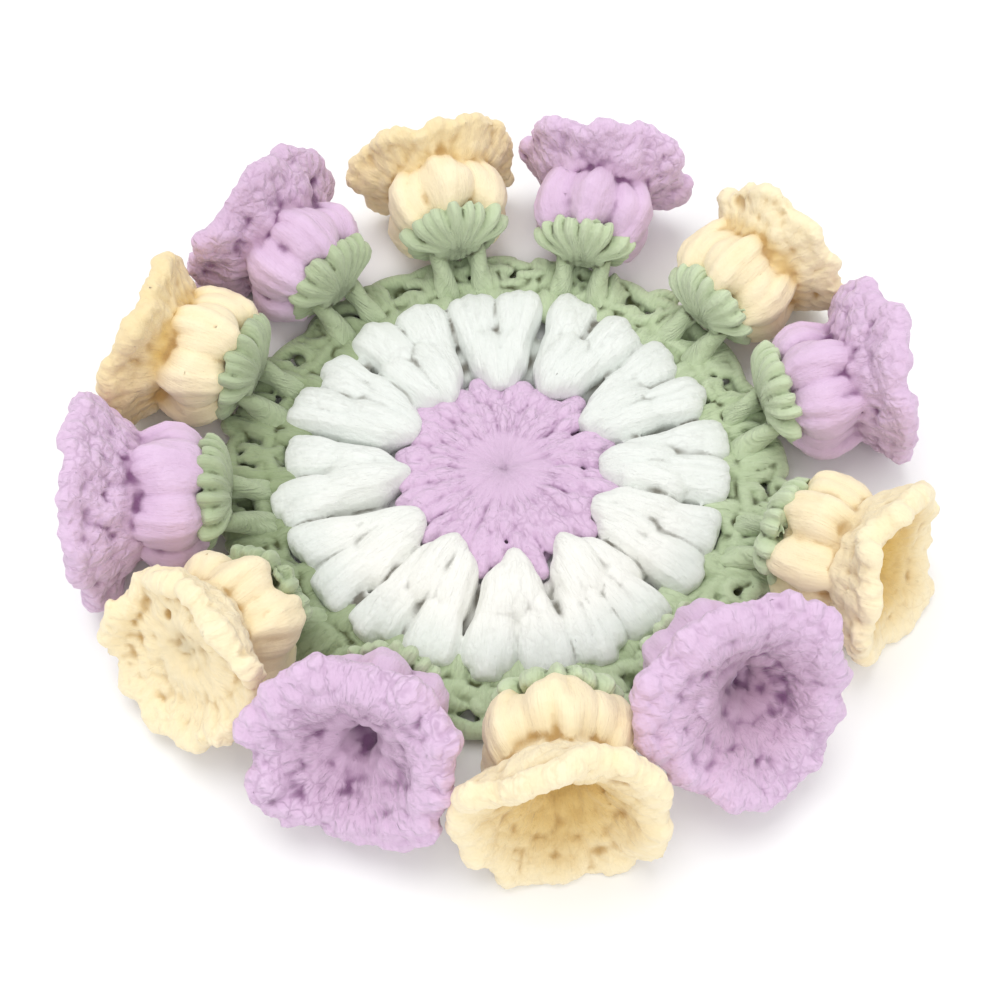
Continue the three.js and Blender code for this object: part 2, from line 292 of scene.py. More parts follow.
def layStrands(bundle, kind, centres, normals, halfWidth, halfThickness):
    # centres and normals: strands by rings by 3; half sizes: anything that spreads to strands by rings
    strand = strands[kind]
    count, rings = centres.shape[:2]
    tangents = unit(np.gradient(centres, axis=1))
    sides = unit(np.cross(tangents, normals))
    outs = unit(np.cross(sides, tangents))
    halfWidth = np.broadcast_to(halfWidth, (count, rings))
    halfThickness = np.broadcast_to(halfThickness, (count, rings))
    ring, x, y = strand["ring"], strand["x"], strand["y"]
    across = x[None, :] * halfWidth[:, ring]
    out = y[None, :] * halfThickness[:, ring]
    points = centres[:, ring] + across[..., None] * sides[:, ring] + out[..., None] * outs[:, ring]
    bundle.append({"points": points, "faces": strand["faces"]})


def meshFrom(name, bundle):
    points, faces, first = [], [], 0
    for part in bundle:
        count, size = part["points"].shape[:2]
        points.append(part["points"].reshape(-1, 3))
        for strand in range(count):
            start = first + strand * size
            faces.extend([[start + corner for corner in face] for face in part["faces"]])
        first += count * size
    mesh = bpy.data.meshes.new(name)
    mesh.from_pydata((np.concatenate(points) * mm).tolist(), [], faces)
    return mesh


def finishPiece(piece, places, shades, material, nodes):
    mesh = piece.data
    placeLayer = mesh.attributes.new("yarn", "FLOAT_VECTOR", "POINT")
    placeLayer.data.foreach_set("vector", places.astype(np.float32).ravel())
    shadeLayer = mesh.attributes.new("shade", "FLOAT_COLOR", "POINT")
    shadeLayer.data.foreach_set("color", shades.astype(np.float32).ravel())
    mesh.polygons.foreach_set("use_smooth", np.ones(len(mesh.polygons), bool))
    mesh.materials.clear()
    mesh.materials.append(material)
    mesh.update()
    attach(piece, "root")
    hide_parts(*nodes)


def wrapGrid(name, look, surface):
    # a grid is wrapped by surface(u, v), with u and v from 0 to 1, and its seam and poles are closed
    columns, rows = look["grid"]
    deselectAll()
    bpy.ops.mesh.primitive_grid_add(x_subdivisions=columns, y_subdivisions=rows, size=1, location=(0, 0, 0))
    piece = bpy.context.object
    piece.name = name
    piece.data.name = name
    flat = readVectors(piece.data, "co") + 0.5
    movePoints(piece.data, surface(flat[:, 0], flat[:, 1]))
    enter("EDIT")
    bpy.ops.mesh.select_all(action="SELECT")
    bpy.ops.mesh.remove_doubles(threshold=0.01 * mm)
    bpy.ops.mesh.normals_make_consistent(inside=False)
    enter("OBJECT")
    return piece


def neighbourMean(values, ends, share):
    # each point's mean over the points it shares an edge with
    total = np.zeros_like(values)
    for axis in range(values.shape[1]):
        total[:, axis] = np.bincount(ends[:, 0], values[ends[:, 1], axis], len(values))
        total[:, axis] += np.bincount(ends[:, 1], values[ends[:, 0], axis], len(values))
    return total * share


felting = {
    "soften": 0.5,
    "lumpWidth": 7,
    "restHeight": 0.12,
    "squeeze": 0.05,  # of what would lie under the rest height
    "levelRounds": 14,
    # how far below their neighbours points lie where the painted crease shade is darkest, and where it ends,
    # in mm
    "creases": {
        "lilac": (-0.40, 0.0), "yellow": (-0.42, -0.02), "white": (-0.42, -0.02), "green": (-0.32, 0.06),
    },
}
creaseWaves = chance.random((5, 3)) - 0.5
lumpWays = chance.random((16, 3)) - 0.5
lumpStarts = turn * chance.random(16)


def creaseShadeShare(points):
    # the painted crease shade is stronger on some creases than on others: some are pressed shut and some gape
    wave = np.zeros(len(points))
    for step, way in enumerate(creaseWaves):
        wave = wave + np.sin(points @ unit(way) * (0.9 + 0.25 * step) + 7 * way[0])
    return np.clip(0.62 + 0.28 * wave, 0.15, 1)


def dropCrumbs(piece):
    # felting can cut off crumbs; all that isn't joined to the middle point of the list is deleted
    enter("EDIT")
    bpy.ops.mesh.select_mode(type="VERT")
    bpy.ops.mesh.select_all(action="DESELECT")
    enter("OBJECT")
    piece.data.vertices[len(piece.data.vertices) // 2].select = True
    enter("EDIT")
    bpy.ops.mesh.select_linked()
    bpy.ops.mesh.select_all(action="INVERT")
    bpy.ops.mesh.delete(type="VERT")
    enter("OBJECT")


def lumps(points):
    # soft unevenness all over
    wave = np.zeros(len(points))
    for way, start in zip(unit(lumpWays) * (0.7 + 0.6 * np.abs(lumpWays[:, :1])), lumpStarts):
        wave = wave + np.sin(points @ way * turn / felting["lumpWidth"] + start)
    return wave / 5


def feltPiece(ground, bundle, look, tone, nodes, placeOf, paintedTintOf=None, loopsOf=None):
    # ground and strands grow into one soft cloth, then creases are found from how far each point stands out,
    # to paint shade in them and light on what stands out
    grain, rounds, kept, uneven = look["felt"]
    mesh = meshFrom(ground.name + "Strands", bundle)
    stitches = bpy.data.objects.new(mesh.name, mesh)
    bpy.context.collection.objects.link(stitches)
    deselectAll()
    stitches.select_set(True)
    ground.select_set(True)
    bpy.context.view_layer.objects.active = ground
    bpy.ops.object.join()
    remesh = ground.modifiers.new("felted", "REMESH")
    remesh.mode = "VOXEL"
    remesh.voxel_size = grain * mm
    soften = ground.modifiers.new("softened", "SMOOTH")
    soften.factor = felting["soften"]
    soften.iterations = rounds
    bpy.ops.object.modifier_apply(modifier="felted")
    bpy.ops.object.modifier_apply(modifier="softened")
    thin = ground.modifiers.new("thinned", "DECIMATE")
    thin.ratio = kept
    bpy.ops.object.modifier_apply(modifier="thinned")
    dropCrumbs(ground)
    mesh = ground.data
    points = readVectors(mesh, "co") / mm
    points = points + uneven * lumps(points)[:, None] * readVectors(mesh, "normal")
    rest = felting["restHeight"]
    points[:, 2] = np.maximum(points[:, 2], rest + felting["squeeze"] * (points[:, 2] - rest))
    movePoints(mesh, points)
    mesh.update()
    normals = readVectors(mesh, "normal")
    ends = np.empty(2 * len(mesh.edges), np.int32)
    mesh.edges.foreach_get("vertices", ends)
    ends = ends.reshape(-1, 2)
    share = 1 / np.maximum(np.bincount(ends.ravel(), minlength=len(points)), 1)[:, None]
    smooth = points
    for _ in range(felting["levelRounds"]):
        smooth = neighbourMean(smooth, ends, share)
    standing = ((points - smooth) * normals).sum(axis=1)
    # painted shade in the creases
    unshadedShare = 1 - creaseShadeShare(points) * (1 - smoothStep(*felting["creases"][tone], standing))
    # painted light: what stands out is lighter
    crestLight = np.clip(0.5 + 0.9 * standing, 0, 1)
    # painted tint where light and shade fall
    paintedTintShare = paintedTintOf(points, normals) if paintedTintOf else np.zeros(len(points))
    loops = loopsOf(points, normals) if loopsOf else np.full(len(points), look["loops"])
    shades = np.stack([crestLight, unshadedShare, paintedTintShare, loops], axis=-1)
    finishPiece(ground, placeOf(points), shades, felt[tone], nodes)


def onCircle(radius, angle, height):
    return np.stack(np.broadcast_arrays(radius * np.cos(angle), radius * np.sin(angle), height), axis=-1)


def column(count):
    return np.arange(count)[:, None]


def jitter(like, size):
    # a random value up to size, either way, for each place of an array like this one
    return (chance.random(like.shape) - 0.5) * 2 * size


def smoothStep(low, high, value):
    share = np.clip((value - low) / (high - low), 0, 1)
    return share * share * (3 - 2 * share)


def between(share, start, end):
    return start + (end - start) * share


def fromTo(share, look, more=0):
    return between(share, look["from"], look["to"] + more)


def layFlat(bundle, kind, centres, halfWidth, halfThickness):
    # strands that lie with their faces up
    upright = np.broadcast_to(np.array([0.0, 0.0, 1.0]), centres.shape)
    layStrands(bundle, kind, centres, upright, halfWidth, halfThickness)


def roundSection(rows):
    # a closed half section, given as (radius, height) rows, sampled evenly by row
    radii, heights = np.array(rows, float).T
    steps = range(len(rows))

    def at(v):
        place = v * (len(rows) - 1)
        return np.interp(place, steps, radii), np.interp(place, steps, heights)

    return at


# The lilac centre: spokes round the hub, then two loose rounds of lobes with twelve star points

centreStitch = {
    "hub": {"strands": 26, "from": 0.3, "to": 10.6, "halfWidth": (0.25, 0.95), "height": 3.5, "bend": 0.2},
    "middle": {"strands": 26, "from": 7.0, "to": 14.6, "halfWidth": (0.35, 1.02), "height": 3.4, "bend": 0.4},
    "outer": {"strands": 36, "from": 11.4, "to": 20.1, "halfWidth": (0.4, 1.08), "height": 3.2, "bend": 0.4},
    "halfThickness": 0.85,
    "ground": [
        (0, 0), (18.4, 0), (18.9, 0.8), (18.4, 1.5), (15, 2.15), (11, 2.5), (6, 3.1), (2.5, 4.2), (0, 4.5),
    ],
    "grid": (144, 28),
    "girthAt": 14,
    "felt": (0.32, 1, 0.65, 0),  # grain in mm, rounds of softening, share of faces kept, unevenness in mm
}


def starSwing(angle):
    return 1 - 2 * np.abs(np.cos(0.5 * mat["units"] * (angle - mat["firstPetal"] * degree)))


def teardrop(t, low, high):
    # half width of a stitch: drawn in at its foot, full before its end
    return between(np.sin(0.5 * math.pi * np.minimum(1, t / 0.72)) ** 1.3, low, high)


def layCentre():
    bundle = []
    t = alongStrand("fat")
    for name in ("hub", "middle", "outer"):
        look = centreStitch[name]
        loose = 0.3 if name == "hub" else 1.0
        count = look["strands"]
        index = column(count)
        pitch = turn / count
        angle = mat["firstPetal"] * degree + (index + 0.5) * pitch + loose * jitter(index, 0.24 * pitch)
        angle = angle + loose * jitter(index, 0.42 * pitch) * (t - 0.4)
        start = look["from"] + loose * jitter(index, 1.0)
        end = look["to"] + loose * jitter(index, 0.9)
        if name == "outer":
            end = end + 1.8 * starSwing(angle[:, -1:])
        radius = between(t, start, end)
        angle = angle + jitter(index, look["bend"]) * arch(t) / radius
        width = teardrop(t, *look["halfWidth"]) * (1 + jitter(index, 0.2))
        rise = loose * (0.6 * arch(np.minimum(1, 0.1 + 0.8 * t)) + jitter(index, 0.45))
        fall = 0.7 * smoothStep(15.5, 20, radius)
        centres = onCircle(radius, angle, look["height"] + rise - fall)
        layFlat(bundle, "fat", centres, width, centreStitch["halfThickness"])
    return bundle


def aroundMat(girth):
    # fibres run outwards from the middle; widths are true at the radius called girth
    def at(points):
        radius = np.hypot(points[:, 0], points[:, 1])
        angle = np.arctan2(points[:, 1], points[:, 0])
        return np.stack([radius, girth * np.cos(angle), girth * np.sin(angle)], axis=-1)

    return at


def centreLoops(points, normals):
    return 0.7 * smoothStep(5, 10, np.hypot(points[:, 0], points[:, 1]))


def makeCentre():
    section = roundSection(centreStitch["ground"])

    def surface(u, v):
        radius, height = section(v)
        angle = u * turn
        swing = mat["starDepth"] * starSwing(angle) * np.clip((radius - 14) / 5, 0, 1)
        return onCircle(radius + swing, angle, height)

    ground = wrapGrid("lilacCentre", centreStitch, surface)
    placeOf = aroundMat(centreStitch["girthAt"])
    feltPiece(ground, layCentre(), centreStitch, "lilac", ["centre"], placeOf, loopsOf=centreLoops)


# The white ring: twelve domed petals that open outwards into twenty-four square tips

petalStitch = {
    "petal": {"strands": 4, "from": 17.0, "to": 30.5, "halfWidth": (0.75, 1.2), "halfThickness": 1.6},
    "tip": {"strands": 3, "from": 25, "to": 40.7, "halfWidth": (0.8, 1.15), "halfThickness": 1.5},
    "ground": [
        (20.8, 0.6), (21.2, 0), (32.6, 0), (33.2, 0.7), (32.8, 1.6), (31, 2.0),
        (28, 2.2), (25, 2.1), (21.6, 1.5), (20.8, 0.6),
    ],
    "grid": (192, 27),
    "girthAt": 32,
    "loops": 0.25,
    "felt": (0.38, 1, 0.5, 0.2),
}


def eachOf(groups, each, size):
    # one random value for every strand of a group
    return np.repeat(jitter(column(groups), size), each, axis=0)


def layTips(bundle):
    t = alongStrand("long")
    look = petalStitch["tip"]
    each, groups = look["strands"], mat["tips"]
    index = column(groups * each)
    tip = index // each
    place = index % each - 0.5 * (each - 1)
    side = (tip % 2) * 2 - 1  # the petal's side that this tip grows from
    middle = (mat["firstTip"] + 15 * tip) * degree + eachOf(groups, each, 0.02)
    end = look["to"] - 0.5 * place**2 + jitter(index, 0.9) + eachOf(groups, each, 1.1)
    radius = between(t, look["from"], end)
    offset = place * (1.15 + 1.05 * t**1.5) + side * 0.9 * (1 - t) + eachOf(groups, each, 0.7) * (t - 0.5)
    offset = offset + jitter(index, 0.3) + jitter(index, 0.4) * arch(t)
    height = 2.5 + 0.75 * smoothStep(0, 0.55, t) - 0.75 * smoothStep(0.8, 1, t) - 0.15 * place**2
    height = height + jitter(index, 0.35) + eachOf(groups, each, 0.25) * t
    centres = onCircle(radius, middle + offset / radius, height)
    width = between(smoothStep(0.2, 0.85, t), *look["halfWidth"]) * (1 + jitter(index, 0.12))
    layFlat(bundle, "long", centres, width, look["halfThickness"])


def layPetals():
    bundle = []
    layTips(bundle)
    t = alongStrand("long")
    look = petalStitch["petal"]
    each, groups = look["strands"], mat["units"]
    index = column(groups * each)
    place = index % each - 0.5 * (each - 1)
    middle = (mat["firstPetal"] + 30 * (index // each)) * degree + eachOf(groups, each, 0.03)
    start = look["from"] + 1.0 * np.abs(place) ** 1.7 + jitter(index, 0.5) + eachOf(groups, each, 0.6)
    end = look["to"] + 1.4 * np.abs(place) + jitter(index, 1.0)
    radius = between(t, start, end)
    spread = 0.7 + 0.9 * smoothStep(0, 0.3, t) + 1.5 * smoothStep(0.3, 1, t)
    offset = place * spread * (1 + eachOf(groups, each, 0.1)) + eachOf(groups, each, 0.9) * (t - 0.3)
    offset = offset + jitter(index, 0.25) + jitter(index, 0.55) * arch(t)
    crown = arch(0.14 + 0.8 * t) ** 0.7 * (1 - 0.16 * place**2)
    height = 2.4 + 1.3 * crown - 0.4 * smoothStep(0.7, 1, t) + jitter(index, 0.65)
    centres = onCircle(radius, middle + offset / radius, height)
    width = between(smoothStep(0, 0.35, t), *look["halfWidth"]) * (1 + jitter(index, 0.14))
    layFlat(bundle, "long", centres, width, look["halfThickness"])
    return bundle


def frontPaintedLight(points, normals):
    # painted light: the white is lighter and creamier towards the front
    return 0.8 * smoothStep(5, -25, points[:, 1]) * smoothStep(38, 30, np.hypot(points[:, 0], points[:, 1]))


def makePetals():
    section = roundSection(petalStitch["ground"])

    def surface(u, v):
        radius, height = section(v)
        angle = u * turn
        inward = np.clip((26 - radius) / 5, 0, 1)
        outward = np.clip((radius - 31) / 5, 0, 1)
        tips = np.cos(mat["tips"] * (angle - mat["firstTip"] * degree))
        radius = radius + mat["starDepth"] * inward * starSwing(angle) + 2 * outward * tips
        return onCircle(radius, angle, height)

    ground = wrapGrid("whiteRing", petalStitch, surface)
    placeOf = aroundMat(petalStitch["girthAt"])
    feltPiece(ground, layPetals(), petalStitch, "white", ["petal_ring"], placeOf, frontPaintedLight)


makeCentre()
makePetals()
print("centre and petals worked")


# The bell flowers

bell = {
    "puffs": 6,
    "points": 12,
    "neckAt": 13.2,
    "neckRadius": 8.6,
    "wall": 2.1,
    "puffCrease": 0.31,
    "pointDepth": 0.6,
    "pointReach": 0.55,
    "squashBelow": 7,
    "lift": 0.35,
    "groundInset": 0.12,
    "ruffleDepth": 0.4,
    "pleats": 7,
    "grid": (96, 60),
    "felt": (0.40, 1, 0.55, 0.4),
}
puffRows = [(0, 0), (1.4, 8.6), (4, 11.5), (7.6, 12.2), (11, 10.9), (13.2, 8.6)]  # along the axis, radius
skirtRows = [  # share of the way from neck to rim, share of the flare, share of the wall
    (0.22, 0.2, 0), (0.56, 0.6, 0), (0.95, 1, 0), (1, 0.94, 0.3), (0.68, 0.6, 0.9), (0.36, 0.24, 1),
]
throatRows = [(12.6, 4.9), (10.2, 4), (8.6, 3.2), (8.2, 0)]
neckRow, lastRow = 5, 15  # places in the joined section

# Clockwise from the back: turn past its unit, base radius, yaw, tilt, reach, rim radius, ruffle and its start
flowerNames = ("turn", "base", "yaw", "tilt", "reach", "rim", "wave", "sway")
flowerRows = [
    (1, 48.8, 4, 9, 18.3, 14.4, 0.9, 20),
    (1.5, 48.6, 7, 14, 19.0, 14.7, 1.0, 75),
    (-1, 49.2, 2, 13, 18.6, 14.6, 0.8, 140),
    (2, 49.5, 3, 10, 19.3, 15.1, 0.9, 200),
    (0, 50.2, -11, 14, 19.6, 14.8, 1.1, 310),
    (-0.5, 49, -17, 38, 20.4, 15.3, 1.2, 40),
    (-0.5, 49.2, -8, 10, 21.1, 16.0, 1.0, 90),
    (-2, 48.4, 3, 33, 19.6, 14.9, 0.9, 160),
    (-4, 49.2, 11, 27, 20.3, 15.3, 1.1, 250),
    (2, 50.2, -6, 4, 20.9, 16.4, 0.8, 330),
    (0.5, 49.6, 4, 9, 19.4, 15.3, 0.9, 10),
    (1.4, 49.1, 8, 9, 19.2, 15.3, 1.0, 110),
]


def curveThrough(table, place):
    # a smooth curve through the rows of a table, at a fractional row
    table = np.asarray(table, float)
    last = len(table) - 1
    row = np.clip(np.floor(place).astype(int), 0, last - 1)
    share = (np.clip(place, 0, last) - row)[..., None]
    before = table[np.maximum(row - 1, 0)]
    start = table[row]
    end = table[row + 1]
    after = table[np.minimum(row + 2, last)]
    slopeStart = 0.4 * (end - before)
    slopeEnd = 0.4 * (after - start)
    s2, s3 = share**2, share**3
    first = (2 * s3 - 3 * s2 + 1) * start + (s3 - 2 * s2 + share) * slopeStart
    return first + (3 * s2 - 2 * s3) * end + (s3 - s2) * slopeEnd


# Corners where a rim stretches out or folds back: angle on the rim, width, outwards, ahead
rimCorners = {
    0: [(5, 22, 1.6, 0), (90, 60, -1.6, -1.2)],
    1: [(188, 20, 1.6, -1.0), (90, 50, -1.4, -0.6), (0, 30, 0.8, 0)],
    2: [(25, 60, -2.4, -0.6), (110, 16, 0.4, 0), (185, 40, 1.4, 0.4)],
    3: [(100, 30, 0.6, 0.8), (200, 70, 0, -1.4)],
    4: [(90, 30, -1.2, 1.0), (20, 40, -1.6, 0), (290, 40, 1.2, 0.6)],
    5: [
        (165, 40, 2.0, -2.2), (125, 45, 0, -3.6), (40, 28, 2.4, 1.0),
        (85, 28, -1.0, 0), (340, 60, -1.4, 0), (215, 50, -1.0, 0),
    ],
    6: [(200, 35, -0.8, 0), (100, 25, 0, 1.4), (60, 22, 0, -1.2), (0, 40, -1.6, 0), (270, 40, -0.6, 0)],
    7: [(90, 60, -2.0, -4.2), (10, 30, -0.2, 0), (270, 50, -2.2, 0), (225, 25, 1.4, 0), (320, 25, 1.2, 0)],
    8: [(150, 80, -3.4, -1.0), (85, 60, -3.0, -0.8), (270, 30, 0.8, 0)],
    9: [(100, 30, 0.6, 0.8)],
    10: [(90, 120, -0.8, -1.6)],
    11: [(60, 40, -0.8, -0.6)],
}
# Painted shade on each skirt's outside, painted shade in the mouth, painted shade round the neck, how far
# the stitches stand out, how many small loops show, how shallow the mouth is, how far the throat slides
# sideways, how high its pleats are, and how full its puffs are
skirtNames = ("dusk", "glow", "fold", "relief", "loops", "shallow", "slide", "pleats", "full")
skirtLooks = [
    (0.3, 0.4, 0.6, 0.5, 0.25, 0, 0, 0.5, 0.92), (0, 0.5, 0.3, 0.8, 0.6, 0, 0, 0.6, 0.86),
    (0, 0.4, 0.7, 0.5, 0.25, 0, 0, 0.6, 0.88), (0, 0.4, 0.2, 1.1, 0.65, 0, 0, 0.4, 0.88),
    (0, 1, 0, 0.6, 0.35, 0, 0, 0.3, 0.88), (0, 0.5, 0.2, 1.2, 0.7, 0, 2.5, 0.3, 0.86),
    (0, 0.75, 0.1, 0.7, 0.4, 0, 0, 0.3, 0.92), (0, 0.3, 0.1, 1.6, 0.8, 0.1, 0, 0.4, 0.82),
    (0, 0.1, 0.2, 0.3, 0.4, 0.7, 1.5, 0.4, 0.88), (0, 0.3, 0.3, 1.2, 0.7, 0, 0, 0.6, 0.92),
    (0.35, 0.7, 1, 0.6, 0.3, 0, 0, 0.6, 0.92), (0.15, 0.5, 0.6, 0.9, 0.7, 0, 0, 0.6, 0.9),
]


def readyFlower(i):
    flower = dict(zip(flowerNames, flowerRows[i]))
    flower["pointSizes"] = 0.1 + 1.2 * chance.random(bell["points"])
    flower["corners"] = rimCorners.get(i, [])
    flower.update(zip(skirtNames, skirtLooks[i]))
    unitAngle = 100 - 30 * i
    azimuth = (unitAngle + flower["turn"]) * degree
    heading = (unitAngle + flower["yaw"]) * degree
    tilt = flower["tilt"] * degree
    lowest = max(radius * math.cos(tilt) - along * math.sin(tilt) for along, radius in puffRows)
    x, y = flower["base"] * math.cos(azimuth), flower["base"] * math.sin(azimuth)
    flower["foot"] = np.array([x, y, lowest + bell["lift"]])
    x, y = math.cos(heading), math.sin(heading)
    flower["axis"] = np.array([x * math.cos(tilt), y * math.cos(tilt), math.sin(tilt)])
    flower["side"] = np.array([-y, x, 0.0])
    flower["up"] = np.cross(flower["axis"], flower["side"])
    flower["unit"] = unitAngle * degree
    skirt = []
    for share, flare, inset in skirtRows:
        radius = between(flare, bell["neckRadius"], flower["rim"]) - inset * bell["wall"]
        skirt.append((between(share, bell["neckAt"], flower["reach"]), radius))
    puffs = [(along, radius * flower["full"]) for along, radius in puffRows[:-1]]
    flower["section"] = puffs + puffRows[-1:] + skirt + throatRows
    probe = bellPoint(flower, np.linspace(0, lastRow, 120)[:, None], np.linspace(0, turn, 72)[None, :], False)
    flower["lowest"] = min(float(probe[..., 2].min()), bell["lift"])
    return flower


def bellPoint(flower, row, angle, settled=True):
    row, angle = np.broadcast_arrays(np.asarray(row, float), np.asarray(angle, float))
    section = curveThrough(flower["section"], row)
    along, radius = section[..., 0], section[..., 1]
    puffy = np.where(row < neckRow, np.sin(math.pi * np.clip(along, 0, bell["neckAt"]) / bell["neckAt"]), 0)
    puffy = puffy * smoothStep(4, 8, radius)
    opened = smoothStep(bell["neckRadius"], flower["rim"], radius)
    opened = opened * smoothStep(bell["neckAt"], flower["reach"], along)
    opened = np.where(row > neckRow, opened, 0)
    crease = (0.5 + 0.5 * np.cos(bell["puffs"] * angle)) ** 1.5
    sizes = np.append(flower["pointSizes"], flower["pointSizes"][0])
    size = np.interp(np.mod(angle, turn), np.linspace(0, turn, bell["points"] + 1), sizes)
    point = size * (1 - 2 * np.abs(np.sin(0.5 * bell["points"] * angle)) ** 1.1)
    sway = flower["sway"] * degree
    ruffle = np.sin(3 * angle + sway) + 0.5 * np.sin(5 * angle - 2 * sway)
    for at, wide, out, ahead in flower["corners"]:
        turned = np.abs(np.mod(angle - at * degree + math.pi, turn) - math.pi)
        corner = smoothStep(wide * degree, 0, turned) * opened
        radius = radius + out * corner
        along = along + ahead * corner
    radius = radius * (1 - bell["puffCrease"] * puffy * crease)
    pleat = np.sin(bell["pleats"] * angle + 2 * sway)
    pleat = pleat * np.where(row > neckRow, smoothStep(0.15, 0.8, opened), 0)
    drawn = bell["pointDepth"] * point - bell["ruffleDepth"] * ruffle
    radius = radius + opened * drawn + flower["pleats"] * pleat
    along = along + opened * (bell["pointReach"] * point + flower["wave"] * ruffle)
    inside = smoothStep(9.5, 12, row)
    along = along + flower["shallow"] * inside * (flower["reach"] - along)
    sideways = radius * np.cos(angle) + flower["slide"] * inside
    across = sideways[..., None] * flower["side"] + (radius * np.sin(angle))[..., None] * flower["up"]
    world = flower["foot"] + across + along[..., None] * flower["axis"]
    if settled:
        low = bell["squashBelow"]
        share = (low - bell["lift"]) / (low - flower["lowest"])
        world[..., 2] = np.where(world[..., 2] < low, low - share * (low - world[..., 2]), world[..., 2])
    return world


def bellSurface(flower, row, angle, lift):
    # a place on the bell, raised by lift along its outward normal, and that normal
    step = 0.02
    here = bellPoint(flower, row, angle)
    alongRow = bellPoint(flower, row + step, angle) - bellPoint(flower, row - step, angle)
    alongAngle = bellPoint(flower, row, angle + step) - bellPoint(flower, row, angle - step)
    normal = unit(np.cross(alongAngle, alongRow))
    return here + np.asarray(lift)[..., None] * normal, normal


puffStitch = {
    "egg": {"from": 0.1, "to": 5.4, "halfWidth": 4.6, "halfThickness": 3.1, "sunk": 3.0},
    "strands": 4,
    "spread": 13.5,
    "from": 0.5,
    "to": 5.5,
    "halfWidth": 1.15,
    "halfThickness": 1.2,
}
skirtStitch = {
    "lift": (-0.3, 0.55),
    "thickness": 1.05,
    # rounds of V stitches: from row, to row, stitches, half width at the foot and the top
    "rounds": [
        (4.6, 6.0, 12, 0.9, 1.28), (5.7, 6.9, 14, 0.9, 1.28), (6.6, 7.8, 16, 0.9, 1.28),
        (7.5, 8.7, 19, 0.9, 1.28), (14.7, 13.2, 4, 0.6, 0.9),
        (13.2, 12.0, 6, 0.65, 1.0), (12.3, 11.2, 8, 0.7, 1.1),
        (11.5, 10.4, 12, 0.9, 1.28), (10.7, 9.6, 16, 0.9, 1.28), (9.9, 8.8, 19, 0.9, 1.28),
    ],
}
rimStitch = {"count": 40, "from": 7.95, "to": 9.2, "halfWidth": 1.35, "halfThickness": 0.8}


def layPuffs(bundle, flower):
    look, egg = puffStitch, puffStitch["egg"]
    each, groups = look["strands"], bell["puffs"]
    puff = column(groups)
    turned, grown, lengthened = (jitter(puff, size) for size in (0.09, 0.09, 0.3))
    t = alongStrand("egg")
    middle = (30 + 60 * puff) * degree + turned
    row = fromTo(t, egg, lengthened)
    thinner = 1 - 0.55 * smoothStep(0.5, 1, t)  # towards the neck, so that the throat stays open
    lift = 4 * grown - egg["sunk"] * thinner
    centres, normals = bellSurface(flower, row, middle, lift)
    width = egg["halfWidth"] * flower["full"] * (1 + grown)
    layStrands(bundle, "egg", centres, normals, width, egg["halfThickness"] * thinner)

    t = alongStrand("fat")
    index = column(groups * each)
    group = index[:, 0] // each
    place = (index % each - 0.5 * (each - 1)) / (0.5 * (each - 1)) + jitter(index, 0.12)
    belly = 0.3 + 0.7 * arch(np.clip(0.06 + 0.9 * t, 0, 1)) ** 0.7
    angle = middle[group] + place * look["spread"] * degree * belly
    angle = angle + jitter(index, 0.09) * np.sin(turn * t)
    row = fromTo(t, look, lengthened[group]) + jitter(index, 0.15)
    lift = 4 * grown[group] - 0.45 - 1.1 * place**2 + jitter(index, 0.35)
    lift = lift + jitter(index, 0.2) * np.sin(turn * (t + jitter(index, 0.5)))
    lift = lift - 0.7 * (1 - arch(t) ** 0.5)
    centres, normals = bellSurface(flower, row, angle, lift)
    width = look["halfWidth"] * (0.5 + 0.5 * arch(t) ** 0.6)
    layStrands(bundle, "fat", centres, normals, width, look["halfThickness"])


def laySkirtRound(bundle, flower, fromRow, toRow, stitches, foot, top):
    t = alongStrand("fine")
    index = column(2 * stitches)
    leg = (index % 2) * 2 - 1
    pitch = turn / stitches
    middle = (index // 2 + 0.5 * chance.random()) * pitch + eachOf(stitches, 2, 0.12 * pitch)
    spread = pitch * (0.1 + 0.2 * np.minimum(1, 1.3 * t))
    angle = middle + leg * spread + jitter(index, 0.5 * pitch) * (t - 0.4)
    row = between(t, fromRow, toRow) + jitter(index, 0.25)
    lift = between(arch(0.1 + 0.75 * t), *skirtStitch["lift"]) + jitter(index, 0.25)
    lift = lift * flower["relief"] - 0.3 - 0.5 * max(0.0, 1 - flower["relief"])
    centres, normals = bellSurface(flower, row, angle, lift)
    width = between(np.minimum(1, 1.5 * t), foot, top) * (1 + jitter(index, 0.14))
    layStrands(bundle, "fine", centres, normals, width, skirtStitch["thickness"])


def layRim(bundle, flower):
    t = alongStrand("fine")
    look = rimStitch
    index = column(look["count"])
    angle = (index + 0.25) * turn / look["count"] + jitter(index, 0.05) + jitter(index, 0.12) * (t - 0.5)
    row = fromTo(t, look) + jitter(index, 0.15)
    centres, normals = bellSurface(flower, row, angle, jitter(index, 0.3) - 0.25)
    layStrands(bundle, "fine", centres, normals, look["halfWidth"], look["halfThickness"])


